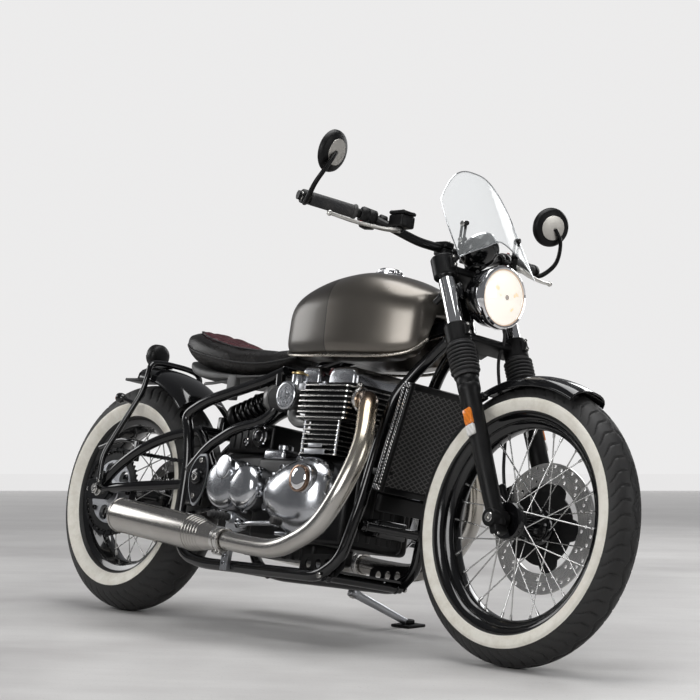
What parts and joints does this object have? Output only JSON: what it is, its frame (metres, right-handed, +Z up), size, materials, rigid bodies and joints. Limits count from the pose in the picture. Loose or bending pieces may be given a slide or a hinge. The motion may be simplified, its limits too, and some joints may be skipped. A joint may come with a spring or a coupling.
{
  "type": "bobber motorcycle",
  "caption": "Bobber motorcycle leaning on its side stand, with a steered fork, spoked wheels that turn and a stand that folds.",
  "frame": {"origin": "middle of the machine's outer box, on the floor it leans on", "axes": "+X is the way it faces, +Y is its left side, which it leans towards, +Z is up"},
  "size_m": [2.1619, 0.8946, 1.2617],
  "materials": {
    "gloss_black": "gloss black enamel",
    "satin_black": "satin black powder coat",
    "black_rubber": "matt moulded rubber",
    "tyre_rubber": "matt rubber with a cream sidewall band",
    "stainless": "brushed stainless",
    "alloy": "brushed and polished aluminium",
    "chrome": "bright chrome",
    "pewter_paint": "satin metallic pewter",
    "seat_leather": "stitched leather",
    "clear_screen": "clear acrylic"
  },
  "bodies": {
    "frame": {"alternator_cover": "alloy", "battery_box": "satin_black", "belly_plate": "gloss_black", "cam_cover": "alloy", "chain": "stainless", "chain_guard": "satin_black", "clutch_cover": "alloy", "crankcase": "alloy", "cylinder_block": "satin_black", "cylinder_head": "satin_black", "fender_stay": "gloss_black", "footrest_left": "satin_black", "footrest_right": "satin_black", "fuel_cap": "chrome", "fuel_tank": "pewter_paint", "header_left": "stainless", "header_right": "stainless", "intake": "satin_black", "main_frame": "gloss_black", "muffler_left": "stainless", "muffler_right": "stainless", "radiator": "satin_black", "rear_caliper": "satin_black", "rear_fender": "gloss_black", "rear_shock": "satin_black", "seat": "seat_leather", "seat_pan": "satin_black", "sprocket_cover": "alloy", "swing_cage": "gloss_black", "tail_light": "satin_black"},
    "steering": {"fork_yokes": "gloss_black", "fork_gaiter_right": "black_rubber", "fork_gaiter_left": "black_rubber", "fork_legs": "satin_black", "front_fender": "gloss_black", "handlebar": "satin_black", "grip_right": "black_rubber", "grip_left": "black_rubber", "switchgear_right": "satin_black", "switchgear_left": "satin_black", "mirror_right": "satin_black", "mirror_left": "satin_black", "headlight": "gloss_black", "instrument": "satin_black", "windscreen": "clear_screen", "front_caliper": "satin_black"},
    "front_wheel": {"front_tyre": "tyre_rubber", "front_wheel_laced": "gloss_black", "front_disc": "stainless"},
    "rear_wheel": {"rear_tyre": "tyre_rubber", "rear_wheel_laced": "gloss_black", "rear_disc": "stainless", "rear_sprocket": "stainless"},
    "side_stand": {"side_stand": "satin_black"}
  },
  "joints": [
    {"name": "steering", "type": "hinge", "parent": "frame", "child": "steering", "pos_m": [0.44284, -0.05105, 0.80509], "axis": [-0.4352, 0.1733, 0.8835], "range_deg": [-35, 35]},
    {"name": "front_wheel_spin", "type": "hinge", "parent": "steering", "child": "front_wheel", "pos_m": [0.751, -0.14511, 0.32565], "axis": [0, 0.9813, -0.1925], "continuous": true},
    {"name": "rear_wheel_spin", "type": "hinge", "parent": "frame", "child": "rear_wheel", "pos_m": [-0.759, -0.14656, 0.31827], "axis": [0, 0.9813, -0.1925], "continuous": true},
    {"name": "stand_fold", "type": "hinge", "parent": "frame", "child": "side_stand", "pos_m": [0.016, -0.02639, 0.09971], "axis": [-0.129, 0.5373, 0.8335], "range_deg": [0, 97]}
  ]
}
